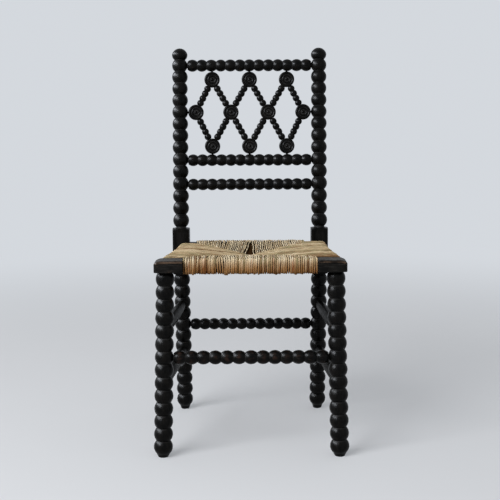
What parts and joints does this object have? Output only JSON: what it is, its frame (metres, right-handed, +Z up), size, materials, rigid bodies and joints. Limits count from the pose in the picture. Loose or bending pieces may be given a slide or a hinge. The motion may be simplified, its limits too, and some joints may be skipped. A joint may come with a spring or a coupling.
{
  "type": "side chair",
  "caption": "Ebonised bobbin-turned side chair with a lattice back of turned roundels and spindles and a woven rush seat.",
  "frame": {"origin": "middle of the chair's footprint, on the floor", "axes": "+Z up, -Y to the front of the chair, +X to the right as seen from the front"},
  "size_m": [0.4194, 0.4264, 0.88],
  "materials": {
    "ebonised_wood": "satin black stain and old wax over turned wood, its species a guess (beech is usual), worn to brown on the edges",
    "rush": "dry twisted rush, straw with brown and olive strands"
  },
  "bodies": {
    "root": {"rear_post_left": "ebonised_wood", "rear_post_right": "ebonised_wood", "front_leg_left": "ebonised_wood", "front_leg_right": "ebonised_wood", "corner_block_left": "ebonised_wood", "corner_block_right": "ebonised_wood", "seat_rail_front": "ebonised_wood", "seat_rail_rear": "ebonised_wood", "seat_rail_left": "ebonised_wood", "seat_rail_right": "ebonised_wood", "rush_front": "rush", "rush_rear": "rush", "rush_left": "rush", "rush_right": "rush", "top_rail": "ebonised_wood", "lattice_rail": "ebonised_wood", "lower_back_rail": "ebonised_wood", "front_stretcher": "ebonised_wood", "rear_stretcher": "ebonised_wood", "side_stretcher_upper_left": "ebonised_wood", "side_stretcher_upper_right": "ebonised_wood", "side_stretcher_lower_left": "ebonised_wood", "side_stretcher_lower_right": "ebonised_wood", "roundel_1": "ebonised_wood", "roundel_2": "ebonised_wood", "roundel_3": "ebonised_wood", "roundel_4": "ebonised_wood", "roundel_5": "ebonised_wood", "roundel_6": "ebonised_wood", "roundel_7": "ebonised_wood", "roundel_8": "ebonised_wood", "roundel_9": "ebonised_wood", "roundel_10": "ebonised_wood", "lattice_spindle_1": "ebonised_wood", "lattice_spindle_2": "ebonised_wood", "lattice_spindle_3": "ebonised_wood", "lattice_spindle_4": "ebonised_wood", "lattice_spindle_5": "ebonised_wood", "lattice_spindle_6": "ebonised_wood", "lattice_spindle_7": "ebonised_wood", "lattice_spindle_8": "ebonised_wood", "lattice_spindle_9": "ebonised_wood", "lattice_spindle_10": "ebonised_wood", "lattice_spindle_11": "ebonised_wood", "lattice_spindle_12": "ebonised_wood", "lattice_pin_1": "ebonised_wood", "lattice_pin_2": "ebonised_wood", "lattice_pin_3": "ebonised_wood", "lattice_pin_4": "ebonised_wood", "lattice_pin_5": "ebonised_wood", "lattice_pin_6": "ebonised_wood", "lattice_pin_7": "ebonised_wood", "lattice_pin_8": "ebonised_wood"}
  },
  "joints": []
}
